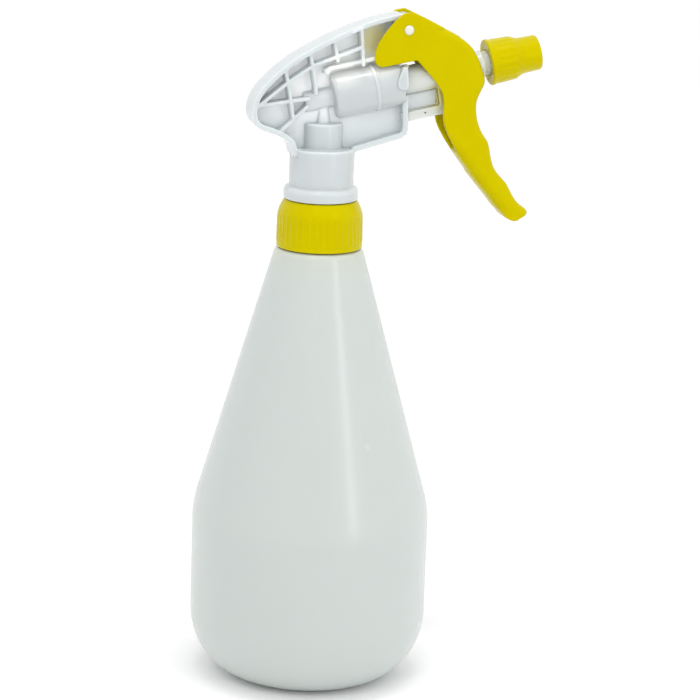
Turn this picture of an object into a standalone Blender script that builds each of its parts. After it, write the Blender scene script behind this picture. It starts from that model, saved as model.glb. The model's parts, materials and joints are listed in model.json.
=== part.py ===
"""Trigger mister: a coned bottle, a screw collar and a pump whose nozzle moves with its piston.

Units in the tables below are millimetres, in a frame whose origin is the middle of the
bottle's base, +X towards the nozzle and +Z up. Objects are built in metres.
"""
import math

import bpy
import bmesh
from mathutils import Matrix, Vector

MM = 0.001
NAME = "hand_mister"

# Bottle
BODY_R = 47.4
BASE_FLAT_R = 25.0
BASE_CORNER_H = 27.0
SHOULDER_Z = 69.0
CONE_TOP_Z = 173.1
CONE_TOP_R = 17.4
NECK_R = 12.7
NECK_BORE_R = 10.7
NECK_TOP_Z = 187.5
WALL = 1.1
BASE_WALL = 1.3
GROOVE_DEPTH = 0.8

# Collar and stem
COLLAR_BOTTOM_Z = 174.6
COLLAR_TOP_Z = 193.3
COLLAR_R = 17.0
COLLAR_BORE_R = 14.2
LIP_R = 11.6
LIP_Z = 191.3
STEM_BOTTOM_Z = 193.6
SKIRT_R = 12.65
SKIRT_TOP_Z = 213.6
STEM_R = 7.6
STEM_TOP_Z = 223.4
SKIRT_BORE_R = 11.2
STEM_BORE_R = 5.0

# Barrel axis: a line in the XZ plane, with distances along it counted from AXIS_START
AXIS_START = (-0.8, 0.0, 233.0)
AXIS_TILT = math.radians(11.8)
BARREL_R = 9.0
BARREL_BORE_R = 7.4
BARREL_REAR = 4.0
BARREL_FRONT = 31.4
BARREL_RING = (20.0, 21.4)
BARREL_RING_R = 9.3
BARREL_FLOOR = 5.6
CONDUIT_R = 4.2
CONDUIT_REAR = -7.5
CONDUIT_BORE_R = 1.3

# Frame of the pump body
WEB_HALF = 1.0
RIM_HALF = 6.5
NOSE_HALF = 5.3
RIM_THICK = 2.0
RIB_THICK = 1.3
BACK_OUTLINE = [(-12.4, 211.0), (-13.9, 216.0), (-17.3, 218.6), (-21.4, 220.3), (-26.0, 221.9),
                (-28.6, 224.4), (-29.4, 228.4), (-28.5, 232.7), (-26.1, 237.1), (-20.5, 243.1),
                (-13.3, 248.8), (-3.6, 254.4), (4.7, 258.4), (13.0, 261.9), (21.4, 264.6), (29.2, 266.1)]
RIBS = [[(-27.9, 229.8), (-15.4, 239.8), (-6.0, 246.1), (3.5, 249.7), (13.4, 253.4)],
        [(-16.6, 244.3), (-14.9, 236.3), (-13.2, 226.0)],
        [(-7.0, 250.6), (-4.6, 238.4), (-4.4, 235.0)],
        [(2.3, 255.8), (3.9, 247.5)],
        [(12.8, 260.2), (14.1, 246.0)],
        [(-27.4, 230.6), (-6.8, 233.4)],
        [(-7.3, 230.6), (-18.3, 220.3)]]
FRONT_WALL = [(31.0, 246.6), (31.2, 238.0), (31.8, 221.8), (31.4, 220.0), (30.0, 218.9),
              (11.0, 213.4)]
MOUTH_LUG = [(29.2, 246.3), (30.8, 246.1), (31.5, 238.8), (30.5, 237.3), (28.1, 237.4),
             (26.9, 238.9), (27.3, 241.5), (28.4, 244.2)]

# Trigger
PIVOT = (31.2, 0.0, 260.3)
PIN_R = 1.9
PIN_HOLE_R = 2.2
BOSS_R = 5.6
CHEEK_HALF = 7.3
CHEEK_INNER = 5.85
FRONT_ROUNDING = 2.2
TRIGGER_FRONT = [(32.6, 267.3), (38.8, 264.5), (46.5, 260.6), (53.3, 257.1), (57.9, 253.0),
                 (60.8, 247.7), (62.9, 241.9), (63.0, 239.2), (61.6, 236.1), (60.2, 232.6),
                 (60.1, 228.7), (60.9, 224.4), (62.9, 219.8), (65.5, 216.2), (66.7, 211.2),
                 (68.2, 206.3), (70.9, 202.8), (73.9, 199.6), (76.3, 195.3), (79.0, 191.8),
                 (82.2, 189.4)]
TRIGGER_TIP = [(82.9, 187.5), (80.6, 185.7), (77.2, 184.7), (74.3, 185.8)]
TRIGGER_BACK = [(67.6, 194.4), (59.8, 203.5), (53.0, 212.5), (48.6, 219.4), (46.5, 225.2),
                (46.3, 232.8), (44.9, 237.2), (40.4, 242.7), (35.0, 248.6)]
TRIGGER_BEAK = [(20.9, 245.7), (18.5, 247.2), (18.0, 250.6), (19.4, 255.2), (22.7, 260.2),
                (26.4, 264.5), (29.0, 266.6)]
TRIGGER_CAVITY = [(63.2, 205.8), (65.4, 207.8), (64.3, 210.8), (62.9, 215.0), (60.3, 219.0),
                  (58.5, 224.2), (57.8, 229.0), (57.9, 233.2), (59.3, 236.6), (60.3, 239.8),
                  (69.0, 240.4), (69.0, 258.0), (54.4, 260.5), (51.4, 256.0), (45.4, 258.7),
                  (38.0, 262.4), (37.0, 270.0), (10.0, 270.0), (10.0, 238.0), (38.0, 224.0),
                  (50.0, 200.5)]
PRONG_Z = (232.9, 236.4)
PRONG_TIP_X = 48.15

# Piston rod, along the barrel axis
ROD_R = 5.5
ROD_REAR = 18.5
ROD_FRONT = 84.2
ROD_SPRING_BORE_R = 4.0
ARM_INNER_Y = 1.3
ARM_OUTER_Y = 3.1
ARM_BAR = (45.5, 46.9)
ARM_STRIP_REAR = 29.2
ARM_DROP = (-12.1, -15.7)

# Nozzle cap, along the barrel axis
NOZZLE_REAR = 67.4
NOZZLE_FRONT = 88.3
NOZZLE_BORE_R = 5.5

INLET_BALL_R = 2.4
OUTLET_BALL_R = 2.0
TUBE_R = 2.6
TUBE_BORE_R = 1.7

YELLOW = (0.70, 0.60, 0.005)
WHITE = (0.76, 0.80, 0.82)
MILKY = (0.74, 0.78, 0.76)
NATURAL = (0.80, 0.82, 0.78)
STEEL = (0.60, 0.60, 0.60)
RUBBER = (0.04, 0.04, 0.04)


def clear_scene():
    for obj in list(bpy.data.objects):
        bpy.data.objects.remove(obj, do_unlink=True)


def new_collection(name):
    collection = bpy.data.collections.new(name)
    bpy.context.scene.collection.children.link(collection)
    return collection


clear_scene()
PARTS = new_collection(NAME)
CUTTERS = new_collection("cutters")

AXIS = Matrix.Translation(Vector(AXIS_START) * MM) @ Matrix.Rotation(math.pi / 2 - AXIS_TILT, 4, "Y")
UPRIGHT = Matrix.Identity(4)
ACROSS = Matrix.Rotation(-math.pi / 2, 4, "X")


def paint(obj, color, roughness=0.4, metallic=0.0):
    """Give a part its own Principled material."""
    material = bpy.data.materials.new(obj.name)
    material.use_nodes = True
    shader = material.node_tree.nodes["Principled BSDF"]
    shader.inputs["Base Color"].default_value = (*color, 1.0)
    shader.inputs["Roughness"].default_value = roughness
    shader.inputs["Metallic"].default_value = metallic
    obj.data.materials.clear()
    obj.data.materials.append(material)


def add_object(name, data, collection=PARTS, matrix=UPRIGHT):
    obj = bpy.data.objects.new(name, data)
    collection.objects.link(obj)
    obj.matrix_world = matrix
    return obj


def as_cutter(obj):
    """Move a helper solid out of the parts and show it as wire."""
    for collection in list(obj.users_collection):
        collection.objects.unlink(obj)
    CUTTERS.objects.link(obj)
    obj.hide_render = True
    obj.display_type = "WIRE"
    return obj


def smooth_path(points, steps=3):
    """Catmull-Rom points through an open chain of 2D points."""
    chain = [points[0]] + list(points) + [points[-1]]
    path = []
    for before, start, end, after in zip(chain, chain[1:], chain[2:], chain[3:]):
        for step in range(steps):
            t = step / steps
            path.append(tuple(
                0.5 * (2 * b + (c - a) * t + (2 * a - 5 * b + 4 * c - d) * t * t
                       + (3 * b - a - 3 * c + d) * t ** 3)
                for a, b, c, d in zip(before, start, end, after)))
    path.append(tuple(points[-1]))
    return path


def turned(name, profile, matrix=UPRIGHT, steps=32):
    """Turn a closed (radius, height) loop, outer side first and downwards, about local Z."""
    mesh = bpy.data.meshes.new(name)
    points = [(r * MM, 0.0, z * MM) for r, z in profile]
    count = len(points)
    on_axis = profile[0][0] == 0 and profile[-1][0] == 0
    edges = [(i, i + 1) for i in range(count - 1)]
    if not on_axis:
        edges.append((count - 1, 0))
    mesh.from_pydata(points, edges, [])
    obj = add_object(name, mesh, matrix=matrix)
    screw = obj.modifiers.new("turn", "SCREW")
    screw.steps = steps
    screw.render_steps = steps
    screw.use_merge_vertices = True
    screw.merge_threshold = 0.00001
    screw.use_smooth_shade = True
    return obj


def rod(name, radius, low, high, matrix=UPRIGHT, steps=24):
    """A plain solid cylinder along local Z."""
    return turned(name, [(0, high), (radius, high), (radius, low), (0, low)], matrix, steps)


def plate(name, outline, half, middle=0.0):
    """A flat XZ outline, extruded along Y to both sides of y = middle."""
    curve = bpy.data.curves.new(name, "CURVE")
    curve.dimensions = "2D"
    curve.fill_mode = "BOTH"
    curve.extrude = half * MM
    spline = curve.splines.new("POLY")
    spline.points.add(len(outline) - 1)
    for point, (x, z) in zip(spline.points, outline):
        point.co = (x * MM, z * MM, 0.0, 1.0)
    spline.use_cyclic_u = True
    turn = Matrix.Translation((0, middle * MM, 0)) @ Matrix.Rotation(math.pi / 2, 4, "X")
    flat = add_object(name + "_outline", curve, matrix=turn)
    bpy.context.view_layer.update()
    evaluated = flat.evaluated_get(bpy.context.evaluated_depsgraph_get())
    mesh = bpy.data.meshes.new_from_object(evaluated)
    shape = bmesh.new()
    shape.from_mesh(mesh)
    bmesh.ops.remove_doubles(shape, verts=shape.verts, dist=0.00001)
    bmesh.ops.recalc_face_normals(shape, faces=shape.faces)
    shape.to_mesh(mesh)
    shape.free()
    obj = add_object(name, mesh, matrix=flat.matrix_world.copy())
    bpy.data.objects.remove(flat, do_unlink=True)
    return obj


def strip(name, path, half_at, thickness):
    """A band that follows an XZ path, half_at(x) wide to each side, thickened inwards."""
    mesh = bpy.data.meshes.new(name)
    points = []
    for x, z in path:
        half = half_at(x)
        points.append((x * MM, -half * MM, z * MM))
        points.append((x * MM, half * MM, z * MM))
    faces = [(2 * i, 2 * i + 1, 2 * i + 3, 2 * i + 2) for i in range(len(path) - 1)]
    mesh.from_pydata(points, [], faces)
    obj = add_object(name, mesh)
    skin = obj.modifiers.new("thickness", "SOLIDIFY")
    skin.thickness = thickness * MM
    skin.offset = 0.0
    skin.use_even_offset = True
    return obj


def box(name, low, high, matrix=UPRIGHT):
    """A box between two corners, in the given frame."""
    mesh = bpy.data.meshes.new(name)
    shape = bmesh.new()
    bmesh.ops.create_cube(shape, size=1.0)
    size = [(b - a) * MM for a, b in zip(low, high)]
    middle = [(a + b) / 2 * MM for a, b in zip(low, high)]
    bmesh.ops.scale(shape, vec=size, verts=shape.verts)
    bmesh.ops.translate(shape, vec=middle, verts=shape.verts)
    shape.to_mesh(mesh)
    shape.free()
    return add_object(name, mesh, matrix=matrix)


def ball(name, radius, height, matrix=UPRIGHT):
    """A ball whose centre is on local Z at the given height."""
    mesh = bpy.data.meshes.new(name)
    shape = bmesh.new()
    bmesh.ops.create_uvsphere(shape, u_segments=20, v_segments=12, radius=radius * MM)
    shape.to_mesh(mesh)
    shape.free()
    return add_object(name, mesh, matrix=matrix @ Matrix.Translation((0, 0, height * MM)))


def coil(name, radius, wire_r, low, high, turns, matrix):
    """A compression spring with closed end turns, along local Z."""
    per_turn = 14
    count = turns * per_turn
    curve = bpy.data.curves.new(name, "CURVE")
    curve.dimensions = "3D"
    curve.bevel_depth = wire_r * MM
    curve.bevel_resolution = 2
    curve.use_fill_caps = True
    spline = curve.splines.new("POLY")
    spline.points.add(count)
    pitch_end = 2.2 * wire_r
    span = high - low - 2 * wire_r - 2 * pitch_end
    for index, point in enumerate(spline.points):
        turn = index / per_turn
        if turn <= 1:
            rise = turn * pitch_end
        elif turn >= turns - 1:
            rise = pitch_end + span + (turn - turns + 1) * pitch_end
        else:
            rise = pitch_end + span * (turn - 1) / (turns - 2)
        angle = 2 * math.pi * turn
        point.co = (radius * math.cos(angle) * MM, radius * math.sin(angle) * MM,
                    (low + wire_r + rise) * MM, 1.0)
    return add_object(name, curve, matrix=matrix)


def join(target, helper):
    modifier = target.modifiers.new(helper.name, "BOOLEAN")
    modifier.operation = "UNION"
    modifier.object = as_cutter(helper)


def cut(target, helper):
    modifier = target.modifiers.new(helper.name, "BOOLEAN")
    modifier.operation = "DIFFERENCE"
    modifier.object = as_cutter(helper)


def place_origin(obj, point):
    """Put an object's origin at a point without moving its shape."""
    target = Vector(point) * MM
    shift = obj.matrix_world.inverted() @ target
    obj.data.transform(Matrix.Translation(-shift))
    obj.matrix_world = obj.matrix_world @ Matrix.Translation(shift)


def on_axis(along, across):
    """World XZ of a point given along and above the barrel axis."""
    x = AXIS_START[0] + along * math.cos(AXIS_TILT) - across * math.sin(AXIS_TILT)
    z = AXIS_START[2] + along * math.sin(AXIS_TILT) + across * math.cos(AXIS_TILT)
    return (x, z)


def arc(center, radius, start, end, steps):
    """Points on a circular arc, angles in degrees."""
    points = []
    for step in range(steps + 1):
        angle = math.radians(start + (end - start) * step / steps)
        points.append((center[0] + radius * math.cos(angle), center[1] + radius * math.sin(angle)))
    return points


# ---------------------------------------------------------------- bottle and closure

def base_corner(thickness, floor):
    """Quarter ellipse from the straight wall down to the base."""
    points = []
    for step in range(9):
        angle = math.radians(90 * step / 8)
        radius = BASE_FLAT_R + (BODY_R - thickness - BASE_FLAT_R) * math.cos(angle)
        height = BASE_CORNER_H - (BASE_CORNER_H - floor) * math.sin(angle)
        points.append((radius, height))
    return points


def make_bottle():
    groove = [(22.0, 0.0), (21.4, GROOVE_DEPTH), (17.6, GROOVE_DEPTH), (17.0, 0.0), (0.0, 0.0)]
    outer = [(NECK_R - 0.5, NECK_TOP_Z), (NECK_R, NECK_TOP_Z - 0.5), (NECK_R, 175.4),
             (13.3, 174.3), (16.2, 174.1), (CONE_TOP_R, CONE_TOP_Z), (46.6, SHOULDER_Z + 2.6),
             (47.2, SHOULDER_Z), (BODY_R, SHOULDER_Z - 3.0)]
    inner_r = BODY_R - WALL
    inner = [(0.0, BASE_WALL)] + base_corner(WALL, BASE_WALL)[::-1]
    inner += [(inner_r, SHOULDER_Z - 3.0), (inner_r - 0.7, SHOULDER_Z + 2.2),
              (CONE_TOP_R - 1.3, CONE_TOP_Z - 0.6), (NECK_BORE_R + 1.0, 172.6), (NECK_BORE_R, 173.8),
              (NECK_BORE_R, NECK_TOP_Z)]
    profile = outer + base_corner(0.0, 0.0) + groove + inner
    bottle = turned("bottle", profile, steps=48)
    paint(bottle, MILKY, 0.45)


def make_collar():
    collar = turned("screw_collar", [
        (LIP_R, COLLAR_TOP_Z), (14.1, COLLAR_TOP_Z), (14.6, 192.9), (16.3, 189.6), (16.9, 188.2),
        (COLLAR_R, 187.0), (COLLAR_R + 0.1, COLLAR_BOTTOM_Z), (COLLAR_BORE_R, COLLAR_BOTTOM_Z),
        (COLLAR_BORE_R, LIP_Z), (LIP_R, LIP_Z)], steps=40)
    paint(collar, YELLOW, 0.4)


def make_tube_holder():
    holder = turned("tube_holder", [
        (3.2, 218.0), (4.7, 218.0), (4.7, 193.4), (9.6, 193.4), (9.6, 203.0), (10.9, 203.0),
        (10.9, 191.0), (13.4, 191.0), (13.4, 189.6), (4.4, 189.6), (4.4, 178.0), (2.95, 178.0),
        (2.95, 189.2), (1.5, 189.2), (1.5, 192.0), (3.2, 194.0)], steps=28)
    paint(holder, WHITE, 0.4)


def make_wet_end():
    gasket = turned("neck_gasket", [(10.0, 189.3), (13.3, 189.3), (13.3, 187.8), (10.0, 187.8)])
    paint(gasket, NATURAL, 0.6)
    inlet = ball("inlet_ball", INLET_BALL_R, 194.4)
    paint(inlet, STEEL, 0.2, 1.0)
    cage = turned("ball_cage", [(1.3, 201.0), (2.9, 201.0), (2.9, 198.7), (1.3, 198.7)], steps=20)
    paint(cage, NATURAL, 0.4)
    tube = turned("dip_tube", [(TUBE_BORE_R, 188.9), (TUBE_R, 188.9), (TUBE_R, 12.5),
                               (TUBE_BORE_R, 12.5)], steps=20)
    paint(tube, NATURAL, 0.35)
    strainer = turned("inlet_strainer", [
        (0.0, 6.2), (3.1, 6.2), (3.1, 11.6), (2.9, 12.0), (2.9, 20.0), (4.2, 20.0), (4.2, 5.6),
        (3.7, 5.0), (0.0, 5.0)], steps=20)
    for turn in range(2):
        window = box(f"strainer_window_{turn}", (-6, -0.8, 7.4), (6, 0.8, 10.6),
                     Matrix.Rotation(turn * math.pi / 2, 4, "Z"))
        cut(strainer, window)
    paint(strainer, NATURAL, 0.4)


# ---------------------------------------------------------------- pump body

def body_outline():
    """Side outline of the web: back and spine, pivot boss, front wall, lower flange, stem."""
    boss = arc((PIVOT[0], PIVOT[2]), BOSS_R, 95, -35, 7)
    front = [(31.4, 250.0), (31.6, 246.0), (32.6, 220.9), (31.5, 218.5), (11.0, 212.4),
             (11.0, 206.0), (-11.0, 206.0)]
    return smooth_path(BACK_OUTLINE) + boss + front


def rim_half(x):
    """The rim narrows where it runs between the trigger's cheeks."""
    start, end = 7.2, 14.6
    share = min(max((x - start) / (end - start), 0.0), 1.0)
    return RIM_HALF + (NOSE_HALF - RIM_HALF) * share


def inset(path, distance):
    """Move an open path sideways, to the right of its direction."""
    moved = []
    for index, point in enumerate(path):
        before = path[max(index - 1, 0)]
        after = path[min(index + 1, len(path) - 1)]
        along = Vector((after[0] - before[0], after[1] - before[1])).normalized()
        moved.append((point[0] + along.y * distance, point[1] - along.x * distance))
    return moved


def join_frame(body):
    """Rim, ribs, front wall and lower flange round the flat web."""
    back = smooth_path(BACK_OUTLINE, 2)
    join(body, strip("rim", inset(back, RIM_THICK / 2 - 0.2), rim_half, RIM_THICK))
    for index, path in enumerate(RIBS):
        depth = RIM_HALF - 0.4 - 0.07 * index
        rib = strip(f"rib_{index}", path, lambda x, depth=depth: depth, RIB_THICK)
        join(body, rib)
    roof = strip("roof", [on_axis(2.6, 10.6), on_axis(4.0, 11.6), on_axis(13.0, 11.6)],
                 lambda x: 6.0, 1.5)
    join(body, roof)
    nose = strip("nose_roof", [on_axis(12.0, 11.6), on_axis(31.0, 11.6)], lambda x: 5.1, 1.4)
    join(body, nose)
    join(body, strip("front_wall", FRONT_WALL, lambda x: NOSE_HALF + 0.2, 2.1))
    join(body, plate("mouth_lug", MOUTH_LUG, BARREL_R + 0.4))


def make_pump_body():
    body = plate("pump_body", body_outline(), WEB_HALF)
    stem = turned("stem", [
        (0, STEM_TOP_Z), (STEM_R - 0.3, STEM_TOP_Z), (STEM_R, STEM_TOP_Z - 0.4),
        (STEM_R, SKIRT_TOP_Z), (SKIRT_R - 0.4, SKIRT_TOP_Z), (SKIRT_R, SKIRT_TOP_Z - 0.5),
        (SKIRT_R, 198.7), (13.6, 198.4), (14.3, 197.5), (14.6, 196.0), (14.6, STEM_BOTTOM_Z),
        (0, STEM_BOTTOM_Z)], steps=32)
    join(body, stem)
    join_frame(body)
    join(body, turned("barrel", [
        (0, BARREL_FRONT), (BARREL_R, BARREL_FRONT), (BARREL_R, BARREL_RING[1]),
        (BARREL_RING_R, BARREL_RING[1] - 0.3), (BARREL_RING_R, BARREL_RING[0] + 0.3),
        (BARREL_R, BARREL_RING[0]), (BARREL_R, BARREL_REAR + 1.2), (BARREL_R - 1.2, BARREL_REAR),
        (0, BARREL_REAR)], AXIS, 32))
    join(body, rod("conduit", CONDUIT_R, CONDUIT_REAR, 5.0, AXIS, 20))
    riser = turned("riser", [(0, 231.6), (1.7, 231.6), (2.9, 222.1), (0, 222.1)], steps=15)
    join(body, riser)
    boss = rod("pivot_boss", BOSS_R + 0.2, 0.1 - NOSE_HALF, NOSE_HALF - 0.1,
               Matrix.Translation(Vector(PIVOT) * MM) @ ACROSS, 28)
    join(body, boss)
    fin = plate("guide_fin", [on_axis(28.0, -6.0), on_axis(28.0, -11.6), on_axis(42.4, -11.6),
                              on_axis(44.0, -6.0)], WEB_HALF - 0.1)
    join(body, fin)
    barrel_bore = turned("barrel_bore", [
        (0, BARREL_FRONT + 4.6), (BARREL_BORE_R, BARREL_FRONT + 4.6), (BARREL_BORE_R, BARREL_FLOOR),
        (CONDUIT_BORE_R, BARREL_FLOOR), (CONDUIT_BORE_R, -4.0), (0, -4.0)], AXIS, 28)
    cut(body, barrel_bore)
    bore = turned("stem_bore", [
        (0, 232.6), (0.9, 232.6), (0.9, 221.4), (STEM_BORE_R, 221.4), (STEM_BORE_R, 211.4),
        (SKIRT_BORE_R, 211.4), (SKIRT_BORE_R, 192.0), (0, 192.0)], steps=28)
    cut(body, bore)
    pin_hole = rod("body_pin_hole", PIN_HOLE_R, -10, 10,
                   Matrix.Translation(Vector(PIVOT) * MM) @ ACROSS, 20)
    cut(body, pin_hole)
    for side in (-1, 1):
        ys = sorted((side * (ARM_INNER_Y - 0.25), side * (ARM_OUTER_Y + 0.35)))
        slot = box(f"arm_slot_{side + 1}", (-ARM_DROP[0] - 0.4, ys[0], 24.0),
                   (0.4 - ARM_DROP[1], ys[1], 33.6), AXIS)
        cut(body, slot)
    paint(body, WHITE, 0.35)


# ---------------------------------------------------------------- trigger

def round_front(trigger):
    """Round the long edges of the finger side, and leave the rear edges sharp."""
    mesh = trigger.data
    weights = mesh.attributes.new("bevel_weight_edge", "FLOAT", "EDGE")
    line = [Vector(point) for point in smooth_path(TRIGGER_FRONT[1:] + TRIGGER_TIP[:3], 2)]
    for edge in mesh.edges:
        ends = [trigger.matrix_world @ mesh.vertices[i].co / MM for i in edge.vertices]
        along_rim = abs(ends[0].y - ends[1].y) < 0.01
        on_line = all(min((Vector((end.x, end.z)) - p).length for p in line) < 0.05 for end in ends)
        if along_rim and on_line:
            weights.data[edge.index].value = 1.0
    bevel = trigger.modifiers.new("front_rounding", "BEVEL")
    bevel.limit_method = "WEIGHT"
    bevel.width = FRONT_ROUNDING * MM
    bevel.segments = 3
    bevel.use_clamp_overlap = True


def make_trigger():
    outline = (smooth_path(TRIGGER_FRONT + TRIGGER_TIP, 2) + smooth_path(TRIGGER_BACK, 2)
               + smooth_path(TRIGGER_BEAK, 2))
    trigger = plate("trigger", outline, CHEEK_HALF)
    round_front(trigger)
    cut(trigger, plate("trigger_cavity", TRIGGER_CAVITY, CHEEK_INNER))
    for side in (-1, 1):
        ys = sorted((side * ARM_INNER_Y, side * (CHEEK_INNER + 0.6)))
        prong = box(f"prong_{side + 1}", (PRONG_TIP_X, ys[0], PRONG_Z[0]), (59.6, ys[1], PRONG_Z[1]))
        join(trigger, prong)
    hole = rod("trigger_pin_hole", PIN_HOLE_R, -10, 10,
               Matrix.Translation(Vector(PIVOT) * MM) @ ACROSS, 20)
    cut(trigger, hole)
    place_origin(trigger, PIVOT)
    paint(trigger, YELLOW, 0.4)
    pin = rod("pivot_pin", PIN_R, -CHEEK_HALF - 0.1, CHEEK_HALF + 0.1,
              Matrix.Translation(Vector(PIVOT) * MM) @ ACROSS, 20)
    paint(pin, WHITE, 0.4)


# ---------------------------------------------------------------- piston and nozzle

def make_piston():
    piston = turned("piston_rod", [
        (2.9, ROD_FRONT), (4.6, ROD_FRONT), (4.9, 83.6), (4.9, 82.3), (4.1, 82.3), (4.1, 80.3),
        (4.9, 80.3), (4.9, 65.6), (ROD_R, 65.0), (ROD_R, 28.2), (6.9, 27.6), (6.9, 26.6),
        (5.4, 26.6), (5.4, 24.2), (6.9, 24.2), (6.9, 23.2), (5.4, 23.2), (5.4, 20.8),
        (6.9, 20.8), (6.9, ROD_REAR), (ROD_SPRING_BORE_R, ROD_REAR), (ROD_SPRING_BORE_R, 31.0),
        (2.6, 31.0), (2.6, 57.0), (1.2, 57.0), (1.2, 59.0), (2.9, 59.0)], AXIS, 28)
    for side in (-1, 1):
        middle = side * (ARM_INNER_Y + ARM_OUTER_Y) / 2
        outline = [on_axis(ARM_BAR[0], -4.4), on_axis(ARM_BAR[0], ARM_DROP[0]),
                   on_axis(ARM_STRIP_REAR, ARM_DROP[0]), on_axis(ARM_STRIP_REAR, ARM_DROP[1]),
                   on_axis(ARM_BAR[1] - 0.8, ARM_DROP[1]), on_axis(ARM_BAR[1], ARM_DROP[1] + 0.8),
                   on_axis(ARM_BAR[1], -4.4)]
        arm = plate(f"guide_arm_{side + 1}", outline, (ARM_OUTER_Y - ARM_INNER_Y) / 2, middle)
        join(piston, arm)
    paint(piston, NATURAL, 0.35)
    for name, low in (("pressure_cup", 21.1), ("wiper_cup", 24.5)):
        cup = turned(name, [(5.7, low + 1.9), (6.6, low + 1.9), (7.0, low + 1.4), (7.1, low),
                            (6.6, low), (6.5, low + 0.9), (5.7, low + 0.9)], AXIS, 28)
        paint(cup, NATURAL, 0.5)


def make_springs_and_balls():
    spring = coil("return_spring", 3.2, 0.45, 5.9, 30.7, 9, AXIS)
    paint(spring, STEEL, 0.25, 1.0)
    outlet = ball("outlet_ball", OUTLET_BALL_R, 60.96, AXIS)
    paint(outlet, STEEL, 0.2, 1.0)
    light = coil("outlet_spring", 1.8, 0.3, 63.3, 75.6, 7, AXIS)
    paint(light, STEEL, 0.25, 1.0)


def make_nozzle():
    insert = turned("swirl_insert", [(0, 84.0), (2.1, 84.0), (2.5, 83.6), (2.5, 77.0),
                                     (1.6, 76.0), (0, 76.0)], AXIS, 20)
    for turn in range(2):
        groove = box(f"swirl_groove_{turn}", (-4, -0.4, 75), (4, 0.4, 76.8),
                     AXIS @ Matrix.Rotation(turn * math.pi / 2, 4, "Z"))
        cut(insert, groove)
    paint(insert, NATURAL, 0.4)
    seal = turned("nozzle_seal", [(4.35 + 0.5 + 0.42 * math.sin(a), 81.3 + 0.42 * math.cos(a))
                                  for a in [math.radians(45 * k) for k in range(8)]], AXIS, 28)
    paint(seal, RUBBER, 0.6)
    cap = turned("nozzle_cap", [
        (0.6, 86.8), (3.2, 87.5), (3.6, NOZZLE_FRONT), (6.2, NOZZLE_FRONT), (6.8, 87.7),
        (7.1, 81.2), (7.5, 79.8), (8.0, 78.4), (8.35, 76.8), (8.7, 69.6), (9.15, 68.4),
        (9.15, 67.6), (8.9, NOZZLE_REAR), (8.3, NOZZLE_REAR), (8.0, 69.2), (NOZZLE_BORE_R, 69.2),
        (NOZZLE_BORE_R, 84.6), (0.6, 84.6)], AXIS, 36)
    paint(cap, YELLOW, 0.4)


make_bottle()
make_collar()
make_tube_holder()
make_wet_end()
make_pump_body()
make_trigger()
make_piston()
make_springs_and_balls()
make_nozzle()
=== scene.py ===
"""Looks of the hand mister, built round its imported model. Metres, +Z up, nozzle towards +X."""
import json
import math

import bmesh
import bpy
from mathutils import Matrix, Vector


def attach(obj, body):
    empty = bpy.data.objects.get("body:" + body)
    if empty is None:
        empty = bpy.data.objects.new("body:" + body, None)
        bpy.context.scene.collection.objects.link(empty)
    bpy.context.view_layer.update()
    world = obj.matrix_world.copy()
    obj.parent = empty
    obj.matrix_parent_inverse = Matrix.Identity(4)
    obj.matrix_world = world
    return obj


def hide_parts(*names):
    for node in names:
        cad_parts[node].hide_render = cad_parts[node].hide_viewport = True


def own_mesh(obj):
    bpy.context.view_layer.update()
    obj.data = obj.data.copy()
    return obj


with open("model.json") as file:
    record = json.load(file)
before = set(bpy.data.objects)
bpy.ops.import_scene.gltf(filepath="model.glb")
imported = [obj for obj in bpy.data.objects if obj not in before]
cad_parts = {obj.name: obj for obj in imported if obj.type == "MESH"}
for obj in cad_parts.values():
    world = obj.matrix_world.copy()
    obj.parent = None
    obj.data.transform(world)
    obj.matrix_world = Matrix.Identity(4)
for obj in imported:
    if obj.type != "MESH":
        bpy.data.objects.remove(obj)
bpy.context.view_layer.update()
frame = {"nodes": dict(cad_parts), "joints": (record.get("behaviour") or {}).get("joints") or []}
NODES = frame["nodes"]
JOINTS = {joint["name"]: joint for joint in frame["joints"]}

MM = 0.001
BARREL_DIRECTION = Vector(JOINTS["nozzle_turn"]["axis"]).normalized()
BARREL_TILT = math.asin(BARREL_DIRECTION.z)
NOZZLE_JOINT_ALONG = 78.0
BARREL_ZERO = Vector(JOINTS["nozzle_turn"]["pos_m"]) - BARREL_DIRECTION * NOZZLE_JOINT_ALONG * MM
AXIS = Matrix.Translation(BARREL_ZERO) @ Matrix.Rotation(math.pi / 2 - BARREL_TILT, 4, "Y")
PIVOT = Vector(JOINTS["trigger_pull"]["pos_m"])
UPRIGHT = Matrix.Identity(4)


# ---------------------------------------------------------------- materials

def new_material(name):
    material = bpy.data.materials.new(name)
    material.use_nodes = True
    return material, material.node_tree, material.node_tree.nodes["Principled BSDF"]


def noise(tree, scale, detail=3.0, stretch=(1, 1, 1)):
    """Noise fixed to the piece, with its own density along each axis."""
    nodes = tree.nodes
    links = tree.links
    coords = nodes.new("ShaderNodeTexCoord")
    mapping = nodes.new("ShaderNodeMapping")
    mapping.inputs["Scale"].default_value = stretch
    texture = nodes.new("ShaderNodeTexNoise")
    texture.inputs["Scale"].default_value = scale
    texture.inputs["Detail"].default_value = detail
    links.new(coords.outputs["Object"], mapping.inputs["Vector"])
    links.new(mapping.outputs["Vector"], texture.inputs["Vector"])
    return texture.outputs["Fac"]


def spread(tree, value, low, high, from_low=0.15, from_high=0.85):
    """Map a noise value to a number range."""
    ramp = tree.nodes.new("ShaderNodeMapRange")
    ramp.interpolation_type = "SMOOTHSTEP"
    ramp.inputs["From Min"].default_value = from_low
    ramp.inputs["From Max"].default_value = from_high
    ramp.inputs["To Min"].default_value = low
    ramp.inputs["To Max"].default_value = high
    tree.links.new(value, ramp.inputs["Value"])
    return ramp.outputs["Result"]


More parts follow.
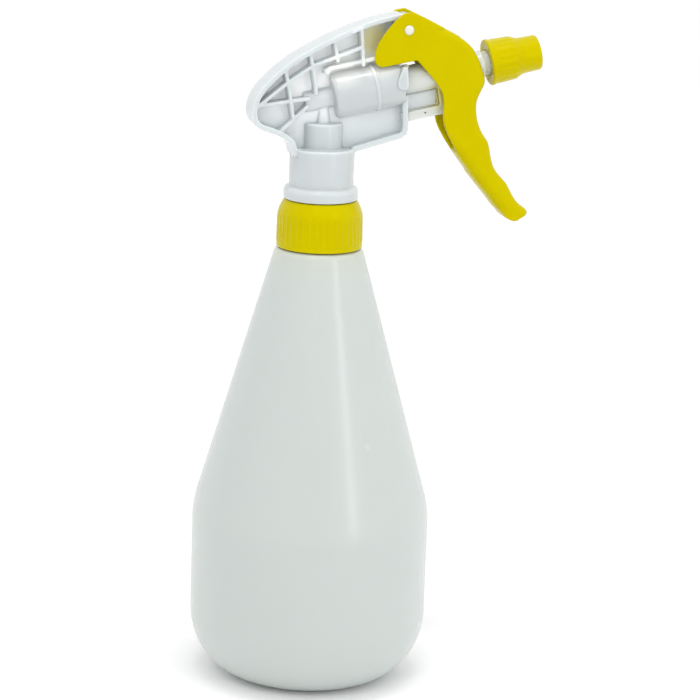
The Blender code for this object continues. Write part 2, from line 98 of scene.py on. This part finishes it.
def mix_colors(tree, factor, first, second):
    mix = tree.nodes.new("ShaderNodeMix")
    mix.data_type = "RGBA"
    mix.inputs["A"].default_value = (*first, 1)
    mix.inputs["B"].default_value = (*second, 1)
    tree.links.new(factor, mix.inputs["Factor"])
    return mix.outputs["Result"]


def add_bump(tree, shader, height, strength, distance):
    bump = tree.nodes.new("ShaderNodeBump")
    bump.inputs["Strength"].default_value = strength
    bump.inputs["Distance"].default_value = distance
    tree.links.new(height, bump.inputs["Height"])
    tree.links.new(bump.outputs["Normal"], shader.inputs["Normal"])


def glow(tree, color, tint, center, radius, most):
    """Tint a colour softly round a point, where light comes from a neighbour or through a wall."""
    nodes = tree.nodes
    coords = nodes.new("ShaderNodeTexCoord")
    away = nodes.new("ShaderNodeVectorMath")
    away.operation = "DISTANCE"
    away.inputs[1].default_value = center
    tree.links.new(coords.outputs["Object"], away.inputs[0])
    share = spread(tree, away.outputs["Value"], most, 0.0, radius * 0.25, radius)
    mix = nodes.new("ShaderNodeMix")
    mix.data_type = "RGBA"
    mix.inputs["B"].default_value = (*tint, 1)
    tree.links.new(share, mix.inputs["Factor"])
    tree.links.new(color, mix.inputs["A"])
    return mix.outputs["Result"]


def paint_light_on_web(tree, color, lit, center, radius):
    """Paint lighter colour on the flat web round a point: painted light standing in for light that comes
    through the thin wall.
    """
    nodes = tree.nodes
    coords = nodes.new("ShaderNodeTexCoord")
    lit_color = glow(tree, color, lit, center, radius, 1.0)
    shares = []
    for output, values in (("Object", (1.0, 0.0, 1.2 * MM, 5.0 * MM)), ("Normal", (0.0, 1.0, 0.5, 0.9))):
        parts = nodes.new("ShaderNodeSeparateXYZ")
        size = nodes.new("ShaderNodeMath")
        size.operation = "ABSOLUTE"
        tree.links.new(coords.outputs[output], parts.inputs["Vector"])
        tree.links.new(parts.outputs["Y"], size.inputs[0])
        shares.append(spread(tree, size.outputs["Value"], *values))
    both = nodes.new("ShaderNodeMath")
    both.operation = "MULTIPLY"
    mix = nodes.new("ShaderNodeMix")
    mix.data_type = "RGBA"
    tree.links.new(lit_color, mix.inputs["B"])
    tree.links.new(shares[0], both.inputs[0])
    tree.links.new(shares[1], both.inputs[1])
    tree.links.new(both.outputs["Value"], mix.inputs["Factor"])
    tree.links.new(color, mix.inputs["A"])
    return mix.outputs["Result"]


def moulded_plastic(name, light, dark, roughness, scatter, scatter_mm, peel=(900, 0.08), clouds=70,
                    shine=0.5, shine_tint=(1, 1, 1), glows=(), painted_web_light=()):
    """Moulded plastic: clouded colour, uneven gloss, fine orange peel, soft scatter, with painted light:
    a lighter painted web where light comes through thin walls, and painted glows of reflected light round
    given points.
    """
    material, tree, shader = new_material(name)
    color = mix_colors(tree, spread(tree, noise(tree, clouds, 3), 0, 1), light, dark)
    # Painted light: lighter web colour and soft glows of reflected light, painted into the base colour.
    for lit, center, radius in painted_web_light:
        color = paint_light_on_web(tree, color, lit, center, radius)
    for tint, center, radius, most in glows:
        color = glow(tree, color, tint, center, radius, most)
    tree.links.new(color, shader.inputs["Base Color"])
    uneven = noise(tree, 2 * clouds, 3)
    tree.links.new(spread(tree, uneven, roughness - 0.02, roughness + 0.03),
                   shader.inputs["Roughness"])
    shader.inputs["IOR"].default_value = 1.49
    shader.inputs["Specular IOR Level"].default_value = shine
    shader.inputs["Specular Tint"].default_value = (*shine_tint, 1)
    shader.inputs["Subsurface Weight"].default_value = scatter
    shader.inputs["Subsurface Radius"].default_value = (1.0, 1.0, 1.0)
    shader.inputs["Subsurface Scale"].default_value = scatter_mm * MM
    add_bump(tree, shader, noise(tree, peel[0], 2), peel[1], 0.0004)
    return material


def steel(name):
    material, tree, shader = new_material(name)
    lines = noise(tree, 400, 2, (1, 1, 6))
    tree.links.new(mix_colors(tree, lines, (0.62, 0.62, 0.61), (0.50, 0.50, 0.50)),
                   shader.inputs["Base Color"])
    tree.links.new(spread(tree, lines, 0.18, 0.32), shader.inputs["Roughness"])
    shader.inputs["Metallic"].default_value = 1.0
    return material


def rubber(name):
    material, tree, shader = new_material(name)
    grain = noise(tree, 900, 4)
    tree.links.new(mix_colors(tree, grain, (0.035, 0.035, 0.037), (0.055, 0.055, 0.056)),
                   shader.inputs["Base Color"])
    shader.inputs["Roughness"].default_value = 0.6
    add_bump(tree, shader, grain, 0.15, 0.0003)
    return material


# Colours of painted light: painted yellow reflection from the yellow parts, and painted light on the
# white shell.
YELLOW_GLOW = (0.62, 0.54, 0.10)
LIT_WHITE = (0.88, 0.89, 0.86)
YELLOW = moulded_plastic("yellow_plastic", (0.52, 0.45, 0.0), (0.505, 0.42, 0.0), 0.26, 0.12, 1.2,
                         shine=0.15, shine_tint=(1.0, 0.9, 0.04))
# White shell: painted light on the flat web between the ribs and in the gap above the barrel, and painted
# yellow reflection of the trigger on the shell under it.
WHITE = moulded_plastic("white_plastic", (0.55, 0.588, 0.595), (0.53, 0.568, 0.578), 0.13, 0.85, 3.5,
                        (700, 0.03), painted_web_light=[((0.62, 0.655, 0.665), (0.010, 0.0, 0.222), 0.080),
                                                 ((0.95, 0.97, 0.98), (-0.006, 0.0, 0.246), 0.034)],
                        glows=[(LIT_WHITE, (0.0060, -0.003, 0.2450), 0.0110, 0.8),
                               (LIT_WHITE, (0.0200, -0.003, 0.2475), 0.0100, 0.8),
                               (YELLOW_GLOW, (0.0190, -0.002, 0.2560), 0.0085, 0.6),
                               (YELLOW_GLOW, (0.0330, -0.004, 0.2490), 0.0060, 0.5)])
# Bottle: painted yellow reflection of the collar round the neck.
MILKY = moulded_plastic("bottle_plastic", (0.517, 0.556, 0.536), (0.509, 0.548, 0.529), 0.25, 0.5, 3.0,
                        (40, 0.01), 16, glows=[(YELLOW_GLOW, (0.0, 0.0, 0.1760), 0.0260, 0.22)])
CREAM = moulded_plastic("pin_plastic", (0.70, 0.70, 0.62), (0.67, 0.67, 0.59), 0.30, 0.3, 1.0)
# Inner plastic: painted yellow reflection of the trigger on the piston moulding.
NATURAL = moulded_plastic("natural_plastic", (0.62, 0.64, 0.61), (0.59, 0.61, 0.575), 0.20, 0.85, 4.0,
                          (700, 0.03),
                          glows=[(YELLOW_GLOW, (0.0465, 0.0, 0.2350), 0.0090, 0.95),
                                 (YELLOW_GLOW, (0.0400, -0.004, 0.2500), 0.0090, 0.5)])
STEEL = steel("spring_steel")
RUBBER = rubber("seal_rubber")


# ---------------------------------------------------------------- mesh helpers

def finish_piece(obj, material, body, slot, *nodes):
    """Paint a new piece, let it ride on its body and hide the solid it stands for."""
    obj.data.materials.clear()
    obj.data.materials.append(material)
    if obj.type == "MESH":
        obj.data.shade_smooth()
    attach(obj, body)
    if nodes:
        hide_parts(*nodes)
    return obj


def add_mesh(name, verts, faces, matrix=UPRIGHT):
    mesh = bpy.data.meshes.new(name)
    mesh.from_pydata(verts, [], faces)
    mesh.transform(matrix)
    mesh.update()
    obj = bpy.data.objects.new(name, mesh)
    bpy.context.scene.collection.objects.link(obj)
    return obj


def lathe(name, profile, steps, matrix=UPRIGHT, relief=None):
    """Turn a closed (radius, height) loop in mm about local Z. relief(angle, r, z) adds to the radius."""
    verts = []
    count = len(profile)
    for step in range(steps):
        angle = 2 * math.pi * step / steps
        for radius, height in profile:
            extra = relief(angle, radius, height) if relief and radius > 0 else 0.0
            reach = (radius + extra) * MM
            verts.append((reach * math.cos(angle), reach * math.sin(angle), height * MM))
    faces = []
    for step in range(steps):
        after = (step + 1) % steps
        for index in range(count):
            following = (index + 1) % count
            if profile[index][0] == 0 and profile[following][0] == 0:
                continue
            faces.append((step * count + index, step * count + following,
                          after * count + following, after * count + index))
    obj = add_mesh(name, verts, faces, matrix)
    shape = bmesh.new()
    shape.from_mesh(obj.data)
    bmesh.ops.remove_doubles(shape, verts=shape.verts, dist=0.000002)
    bmesh.ops.recalc_face_normals(shape, faces=shape.faces)
    shape.to_mesh(obj.data)
    shape.free()
    return obj


def rounded(points, radius, steps=4):
    """Round the corners of a closed loop of (r, z) points, where there is room."""
    result = []
    count = len(points)
    for index, point in enumerate(points):
        corner = Vector(point)
        before = Vector(points[index - 1])
        after = Vector(points[(index + 1) % count])
        if point[0] == 0:
            result.append(tuple(corner))
            continue
        back = before - corner
        ahead = after - corner
        reach = min(radius, back.length * 0.45, ahead.length * 0.45)
        start = corner + back.normalized() * reach
        end = corner + ahead.normalized() * reach
        for step in range(steps + 1):
            t = step / steps
            result.append(tuple(start * (1 - t) ** 2 + corner * 2 * t * (1 - t) + end * t * t))
    return result


def soften(name, node, extras, voxel, smoothing, keep):
    """A moulded version of a CAD solid: joined with its finer extras, remeshed and smoothed."""
    copy = NODES[node].data.copy()
    obj = bpy.data.objects.new(name, copy)
    bpy.context.scene.collection.objects.link(obj)
    shape = bmesh.new()
    shape.from_mesh(copy)
    for extra in extras:
        part = extra.data.copy()
        part.transform(extra.matrix_world)
        shape.from_mesh(part)
        bpy.data.objects.remove(extra, do_unlink=True)
    shape.to_mesh(copy)
    shape.free()
    remesh = obj.modifiers.new("remesh", "REMESH")
    remesh.mode = "VOXEL"
    remesh.voxel_size = voxel * MM
    smooth = obj.modifiers.new("smooth", "SMOOTH")
    smooth.factor = 0.5
    smooth.iterations = smoothing
    thin = obj.modifiers.new("thin", "DECIMATE")
    thin.ratio = keep
    bpy.context.view_layer.update()
    evaluated = obj.evaluated_get(bpy.context.evaluated_depsgraph_get())
    mesh = bpy.data.meshes.new_from_object(evaluated)
    obj.modifiers.clear()
    obj.data = mesh
    return obj


# ---------------------------------------------------------------- bottle

NECK_R = 12.7
NECK_BORE_R = 10.7
NECK_TOP = 187.5


def quarter_ellipse(center_r, reach, top, bottom, steps):
    points = []
    for step in range(steps + 1):
        angle = math.pi / 2 * step / steps
        points.append((center_r + reach * math.cos(angle), top - (top - bottom) * math.sin(angle)))
    return points


def blown_curve(start, corner, end, steps):
    """A quadratic curve between two straight walls."""
    a, b, c = Vector(start), Vector(corner), Vector(end)
    return [tuple(a * (1 - t) ** 2 + b * 2 * t * (1 - t) + c * t * t)
            for t in [step / steps for step in range(steps + 1)]]


def make_bottle():
    outer = [(NECK_R, 176.0)] + blown_curve((NECK_R, 175.6), (12.8, 174.2), (14.6, 174.2), 4)
    outer += blown_curve((15.4, 174.2), (17.1, 174.2), (17.75, 172.0), 6)
    outer += blown_curve((45.5, 75.1), (47.2, 69.0), (47.25, 64.0), 8)
    outer += quarter_ellipse(25.0, 22.25, 27.0, 0.0, 24)
    base = rounded([(22.0, 0.0), (21.4, 0.8), (17.6, 0.8), (17.0, 0.0)], 0.3, 2) + [(0.0, 0.0)]
    inner = [(0.0, 1.3)] + quarter_ellipse(25.0, 21.3, 27.0, 1.3, 16)[::-1]
    inner += [(46.3, 64.0), (44.5, 75.1), (16.6, 172.0), (12.0, 172.9), (NECK_BORE_R, 174.2),
              (NECK_BORE_R, 186.9)]
    profile = [(NECK_R - 0.4, NECK_TOP), (NECK_R, NECK_TOP - 0.4)] + outer + base + inner
    profile.append((NECK_BORE_R + 0.3, NECK_TOP))

    def seam(angle, radius, height):
        """Parting line of the blow mould at both sides, and slightly uneven walls."""
        if radius < 13.5 or height < 0.5:
            return 0.0
        off = math.sin(angle + math.radians(20))
        line = 0.10 * math.exp(-(off * radius / 0.35) ** 2)
        wave = 0.05 * math.sin(3 * angle + height * 0.05) * min(1.0, (radius - 13.5) / 20)
        return line + wave

    bottle = lathe("bottle_shell", profile, 180, UPRIGHT, seam)
    finish_piece(bottle, MILKY, "bottle", "bottle_plastic", "bottle")


THREAD_R = 12.75
THREAD_WIRE = 0.75
THREAD_TURNS = 1.6
THREAD_PITCH = 3.6
THREAD_START = 179.0


def make_thread():
    """The screw thread round the neck, a little over one and a half turns, fading at both ends."""
    curve = bpy.data.curves.new("neck_thread", "CURVE")
    curve.dimensions = "3D"
    curve.bevel_depth = THREAD_WIRE * MM
    curve.bevel_resolution = 3
    curve.use_fill_caps = True
    spline = curve.splines.new("POLY")
    count = 110
    spline.points.add(count)
    for index, point in enumerate(spline.points):
        angle = 2 * math.pi * THREAD_TURNS * index / count
        height = THREAD_START + THREAD_PITCH * THREAD_TURNS * index / count
        fade = min(1.0, 6 * index / count, 6 * (1 - index / count))
        point.co = (THREAD_R * MM * math.cos(angle), THREAD_R * MM * math.sin(angle), height * MM, 1)
        point.radius = max(fade, 0.15)
    thread = bpy.data.objects.new("neck_thread", curve)
    bpy.context.scene.collection.objects.link(thread)
    finish_piece(thread, MILKY, "bottle", "bottle_plastic")


# ---------------------------------------------------------------- collar and nozzle

COLLAR_RIBS = 40
COLLAR_RIB_HEIGHT = 0.22
NOZZLE_RIBS = 20
NOZZLE_RIB_HEIGHT = 0.18
NOZZLE_FRONT = 88.25


def ribs(count, low, high, fade, height):
    """Rounded lengthwise ribs between two heights, fading out at both ends."""
    def relief(angle, radius, z):
        inside = min((z - low) / fade, (high - z) / fade, 1.0)
        if inside <= 0:
            return 0.0
        wave = max(0.0, math.cos(count * angle)) ** 0.7
        return height * wave * inside
    return relief


def make_collar():
    outline = [(14.1, 193.3), (14.7, 192.6), (16.0, 190.0), (16.5, 188.4), (16.75, 176.0),
               (17.0, 174.6), (14.2, 174.6), (14.2, 191.3), (11.6, 191.3), (11.6, 193.3)]
    profile = rounded(outline, 0.7, 4)
    dense = []
    for index, point in enumerate(profile):
        dense.append(point)
        following = profile[(index + 1) % len(profile)]
        if point[0] > 16 and abs(point[1] - following[1]) > 3:
            dense += [(point[0] + (following[0] - point[0]) * k / 12,
                       point[1] + (following[1] - point[1]) * k / 12) for k in range(1, 12)]
    grip = ribs(COLLAR_RIBS, 175.8, 188.6, 1.2, COLLAR_RIB_HEIGHT)

    def relief(angle, radius, z):
        return grip(angle, radius, z) if radius > 15.5 else 0.0

    collar = lathe("collar_shell", dense, 480, UPRIGHT, relief)
    finish_piece(collar, YELLOW, "collar", "yellow_plastic", "screw_collar")


def make_nozzle():
    front = [(0.6, 86.9), (3.1, 87.4), (3.5, NOZZLE_FRONT), (6.1, NOZZLE_FRONT)]
    front += blown_curve((6.2, NOZZLE_FRONT), (6.9, NOZZLE_FRONT), (6.9, 87.4), 5)
    taper = blown_curve((7.05, 81.6), (7.15, 80.6), (7.5, 79.7), 5)
    taper += blown_curve((7.9, 78.7), (8.3, 77.8), (8.35, 76.6), 5)
    side = [(8.35 + 0.05 * step, 76.6 - 1.0 * step) for step in range(1, 8)]
    rear = [(9.0, 68.8), (9.15, 68.2), (9.1, 67.75), (8.85, 67.45), (8.5, 67.4), (5.4, 67.4),
            (5.05, 67.7), (5.4, 69.0), (5.5, 84.6), (0.6, 84.6)]
    grip = ribs(NOZZLE_RIBS, 69.4, 78.6, 0.8, NOZZLE_RIB_HEIGHT)

    def relief(angle, radius, s):
        return grip(angle, radius, s) if radius > 7.3 and 69.3 < s < 80 else 0.0

    cap = lathe("nozzle_shell", front + taper + side + rear, 360, AXIS, relief)
    finish_piece(cap, YELLOW, "nozzle", "yellow_plastic", "nozzle_cap")


# ---------------------------------------------------------------- pump

def tube(name, outer, inner, low, high, matrix, steps=96, round_mm=0.3):
    return lathe(name, rounded([(outer, high), (outer, low), (inner, low), (inner, high)],
                               round_mm, 3), steps, matrix)


def on_axis(along, across):
    """World XZ in mm of a point given along and above the barrel axis."""
    point = AXIS @ Vector((-across * MM, 0, along * MM))
    return (point.x / MM, point.z / MM)


def prism(name, outline, half):
    """An XZ outline in mm, drawn out to both sides of the middle plane."""
    count = len(outline)
    verts = [(x * MM, side * half * MM, z * MM) for side in (-1, 1) for x, z in outline]
    faces = [(i, (i + 1) % count, count + (i + 1) % count, count + i) for i in range(count)]
    faces += [tuple(range(count))[::-1], tuple(range(count, 2 * count))]
    obj = add_mesh(name, verts, faces)
    shape = bmesh.new()
    shape.from_mesh(obj.data)
    bmesh.ops.recalc_face_normals(shape, faces=shape.faces)
    shape.to_mesh(obj.data)
    shape.free()
    return obj


def rod_across(name, middle, radius, half):
    """A round bar along Y through an XZ point in mm."""
    x, z = middle
    return prism(name, [(x + radius * math.cos(2 * math.pi * k / 24),
                         z + radius * math.sin(2 * math.pi * k / 24)) for k in range(24)], half)


BARREL_R = 9.12
BARREL_BORE = 8.2
BARREL_FRONT = 31.4
BARREL_RING_R = 9.5


def make_barrel():
    """The barrel's smooth outside, with its low ring, drawn over the moulding's own barrel."""
    outside = [(BARREL_R, BARREL_FRONT), (BARREL_R, 21.5), (BARREL_RING_R, 21.3),
               (BARREL_RING_R, 20.2), (BARREL_R, 20.0), (BARREL_R, 6.4), (8.9, 5.0)]
    rear = [(BARREL_BORE, 4.1), (7.4, 3.9), (7.4, 5.4), (BARREL_BORE, 6.0)]
    profile = rounded(outside + rear + [(BARREL_BORE, BARREL_FRONT)], 0.5, 4)
    sleeve = lathe("barrel_moulding", profile, 192, AXIS)
    finish_piece(sleeve, WHITE, "head", "white_plastic")


def make_pump_body():
    conduit = tube("conduit", 4.24, 1.8, -7.54, 4.6, AXIS, 64, 0.4)
    skirt = tube("skirt", 12.69, 11.5, 198.0, 213.64, UPRIGHT, 128, 0.5)
    upper = tube("upper", 7.64, 5.4, 213.0, 223.44, UPRIGHT, 96, 0.4)
    flange = lathe("flange", rounded([(12.0, 198.6), (13.7, 198.6), (14.64, 197.2), (14.64, 193.58),
                                      (12.0, 193.58)], 0.8, 4), 128)
    riser = lathe("riser", rounded([(0, 231.8), (1.75, 231.8), (3.1, 223.0), (3.6, 221.8), (0, 221.8)],
                                   0.5, 3), 48, Matrix.Translation((-0.2 * MM, 0, 0)))
    fin = prism("fin", [on_axis(30.0, -5.68), on_axis(30.0, -11.5), on_axis(44.2, -11.5),
                        on_axis(45.4, -5.68)], 0.9)
    lip = prism("lip", [on_axis(27.0, 9.1), on_axis(27.0, 10.9), on_axis(35.4, 10.6),
                        on_axis(35.4, 9.2)], 4.9)
    roof_end = rod_across("roof_end", on_axis(2.7, 10.7), 1.15, 6.0)
    body = soften("pump_moulding", "pump_body",
                  [conduit, skirt, upper, flange, riser, fin, lip, roof_end], 0.3, 3, 0.45)
    finish_piece(body, WHITE, "head", "white_plastic", "pump_body")


BACK_FILLING = [(64.5, 198.6), (59.9, 203.7), (56.4, 208.3), (53.4, 212.3), (54.2, 213.6),
                (58.4, 213.8), (63.6, 213.4), (66.0, 210.0), (67.6, 204.0)]
REAR_LINE = [(74.3, 185.8), (67.6, 194.4), (59.8, 203.5), (53.0, 212.5), (48.6, 219.4), (46.5, 225.2)]
REAR_ROUNDING = 4.6
REAR_SWELL = 0.9
CLOSED_TOP = 220.0
CLOSED_BOTTOM = 185.0
TRIGGER_HALF = 7.3


def rear_distance(point):
    """Depth in mm of a point inwards from the trigger's rear line, and that inward direction."""
    best = None
    for start, end in zip(REAR_LINE, REAR_LINE[1:]):
        a, b = Vector(start), Vector(end)
        along = b - a
        t = min(max((point - a).dot(along) / along.length_squared, 0.0), 1.0)
        gap = (point - a - along * t).length
        inwards = Vector((along.y, -along.x)).normalized()
        if best is None or gap < best[0]:
            best = (gap, inwards, (point - a).dot(inwards))
    return best[2], best[1]


def round_rear(mesh):
    """Round the lower, closed half of the trigger towards its rear line, and swell it a little."""
    for vertex in mesh.vertices:
        height = vertex.co.z / MM
        share = min(max((CLOSED_TOP - height) / 9.0, 0.0),
                    max((height - CLOSED_BOTTOM) / 6.0, 0.0), 1.0)
        if share == 0.0:
            continue
        depth, inwards = rear_distance(Vector((vertex.co.x / MM, height)))
        back = (REAR_ROUNDING - depth) / REAR_ROUNDING
        if back <= 0.0:
            continue
        back = min(back, 1.0)
        out = min(abs(vertex.co.y) / MM / TRIGGER_HALF, 1.0)
        length = (back ** 3.0 + out ** 3.0) ** (1 / 3.0)
        if length < 1e-6:
            continue
        keep = 1 + (max(back, out) / length - 1) * share
        step = (back * (1 - keep) * REAR_ROUNDING - REAR_SWELL * share * back) * MM
        vertex.co.x += inwards.x * step
        vertex.co.z += inwards.y * step
        vertex.co.y *= keep
    mesh.update()


def make_trigger():
    filler = prism("trigger_back", BACK_FILLING, 6.4)
    across = Matrix.Translation(PIVOT) @ Matrix.Rotation(-math.pi / 2, 4, "X")
    bushes = [tube(f"bush_{side + 1}", 3.0, 1.6, *sorted((side * 6.2, side * 7.28)), across, 48, 0.1)
              for side in (-1, 1)]
    trigger = soften("trigger_moulding", "trigger", [filler, *bushes], 0.3, 6, 0.6)
    round_rear(trigger.data)
    finish_piece(trigger, YELLOW, "trigger", "yellow_plastic", "trigger")


def make_pin():
    across = Matrix.Translation(PIVOT) @ Matrix.Rotation(-math.pi / 2, 4, "X")
    cap = [(0, 7.95), (0.8, 7.9), (1.4, 7.72), (1.85, 7.4), (1.9, 7.3), (1.4, 7.26), (1.4, 6.6)]
    profile = cap + [(radius, -height) for radius, height in cap[::-1]]
    pin = lathe("pin_moulding", profile, 48, across)
    finish_piece(pin, CREAM, "head", "white_plastic", "pivot_pin")


DARK_DOT = (13.7, -3.1, 38.9)


def make_piston():
    """The rod, with a small dark dot on its lower guide strip."""
    shaft = tube("shaft", 5.52, 4.2, 28.6, 65.0, AXIS, 96, 0.3)
    piston = soften("piston_moulding", "piston_rod", [shaft], 0.28, 3, 0.5)
    finish_piece(piston, NATURAL, "piston", "natural_plastic", "piston_rod")
    mark = lathe("dark_dot", [(0, 0.06), (0.3, 0.06), (0.36, 0), (0.36, -0.1), (0, -0.1)], 24,
                 AXIS @ Matrix.Translation(Vector(DARK_DOT) * MM)
                 @ Matrix.Rotation(math.pi / 2, 4, "X"))
    finish_piece(mark, RUBBER, "piston", "natural_plastic")


# ---------------------------------------------------------------- springs and the rest

def make_spring(name, node, body, radius, wire, ends, turns):
    """A coil spring with closed end turns."""
    per_turn = 36
    low, high = ends
    curve = bpy.data.curves.new(name, "CURVE")
    curve.dimensions = "3D"
    curve.bevel_depth = wire * MM
    curve.bevel_resolution = 3
    curve.use_fill_caps = True
    spline = curve.splines.new("POLY")
    spline.points.add(turns * per_turn)
    closed = 2.2 * wire
    for index, point in enumerate(spline.points):
        turn = index / per_turn
        middle = min(max(turn - 1, 0), turns - 2) / (turns - 2)
        rise = closed * (min(turn, 1) + max(turn - turns + 1, 0))
        rise += middle * (high - low - 2 * wire - 2 * closed)
        angle = 2 * math.pi * turn
        point.co = (radius * math.cos(angle) * MM, radius * math.sin(angle) * MM,
                    (low + wire + rise) * MM, 1)
    path = bpy.data.objects.new(name + "_path", curve)
    bpy.context.scene.collection.objects.link(path)
    bpy.context.view_layer.update()
    evaluated = path.evaluated_get(bpy.context.evaluated_depsgraph_get())
    mesh = bpy.data.meshes.new_from_object(evaluated)
    bpy.data.objects.remove(path, do_unlink=True)
    spring = bpy.data.objects.new(name, mesh)
    bpy.context.scene.collection.objects.link(spring)
    spring.data.transform(AXIS)
    finish_piece(spring, STEEL, body, "spring_steel", node)
    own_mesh(spring)


def make_springs():
    make_spring("return_coil", "return_spring", "head", 3.2, 0.45, (5.9, 30.7), 9)
    make_spring("outlet_coil", "outlet_spring", "piston", 1.8, 0.3, (63.3, 75.6), 7)


KEPT = {"neck_gasket": NATURAL, "tube_holder": WHITE, "inlet_ball": STEEL, "ball_cage": NATURAL,
        "dip_tube": NATURAL, "inlet_strainer": NATURAL, "pressure_cup": NATURAL,
        "wiper_cup": NATURAL, "outlet_ball": STEEL, "swirl_insert": NATURAL,
        "nozzle_seal": RUBBER}


def paint_kept_nodes():
    for node, material in KEPT.items():
        NODES[node].data.materials.clear()
        NODES[node].data.materials.append(material)


# ---------------------------------------------------------------- floor, light and camera

YAW = math.radians(13.4)
CAMERA_DISTANCE = 1.1
CAMERA_HEIGHT = 0.3988
PAN = 0.0124
PITCH = 0.2372
ROLL = 0.0365
FOCAL_SHARE = 2860.0 / 700.0
SENSOR = 36.0


def make_camera():
    data = bpy.data.cameras.new("camera")
    data.sensor_width = SENSOR
    data.lens = SENSOR * FOCAL_SHARE
    data.dof.use_dof = False
    camera = bpy.data.objects.new("camera", data)
    bpy.context.scene.collection.objects.link(camera)
    forward = Vector((math.sin(PAN) * math.cos(PITCH), math.cos(PAN) * math.cos(PITCH),
                      -math.sin(PITCH)))
    right = Vector((math.cos(PAN), -math.sin(PAN), 0))
    up = right.cross(forward)
    side = right * math.cos(ROLL) + up * math.sin(ROLL)
    top = up * math.cos(ROLL) - right * math.sin(ROLL)
    turn = Matrix((side, top, -forward)).transposed().to_4x4()
    place = Matrix.Translation((0, -CAMERA_DISTANCE, CAMERA_HEIGHT)) @ turn
    camera.matrix_world = Matrix.Rotation(-YAW, 4, "Z") @ place
    bpy.context.scene.camera = camera


def area_light(name, place, target, size, power):
    data = bpy.data.lights.new(name, "AREA")
    data.shape = "RECTANGLE"
    data.size, data.size_y = size
    data.energy = power
    light = bpy.data.objects.new(name, data)
    bpy.context.scene.collection.objects.link(light)
    light.location = Matrix.Rotation(-YAW, 4, "Z") @ Vector(place)
    aim = (Vector(target) - light.location).to_track_quat("-Z", "Y")
    light.rotation_euler = aim.to_euler()


def make_stage():
    floor = add_mesh("floor", [(-3, -3, 0), (3, -3, 0), (3, 3, 0), (-3, 3, 0)], [(0, 1, 2, 3)],
                     Matrix.Translation((0, 0, -0.0002)))
    material, tree, shader = new_material("floor")
    tree.links.new(mix_colors(tree, spread(tree, noise(tree, 2, 2), 0, 1), (0.96, 0.96, 0.96),
                              (0.95, 0.95, 0.95)), shader.inputs["Base Color"])
    shader.inputs["Roughness"].default_value = 0.9
    floor.data.materials.append(material)
    world = bpy.data.worlds.new("studio")
    world.use_nodes = True
    world.node_tree.nodes["Background"].inputs["Color"].default_value = (1, 1, 1, 1)
    world.node_tree.nodes["Background"].inputs["Strength"].default_value = 1.05
    bpy.context.scene.world = world
    area_light("key", (-0.2, -0.9, 1.0), (0, 0, 0.15), (0.3, 0.3), 1.3)
    area_light("top", (0.02, -0.13, 0.85), (0, 0, 0.24), (0.4, 0.024), 1.3)
    area_light("strip", (0.62, -0.68, 0.35), (0, 0, 0.1), (0.05, 0.6), 1.0)
    bpy.context.scene.view_settings.view_transform = "Standard"


make_camera()
make_stage()
make_bottle()
make_thread()
make_collar()
make_nozzle()
make_barrel()
make_pump_body()
make_trigger()
make_pin()
make_piston()
make_springs()
paint_kept_nodes()
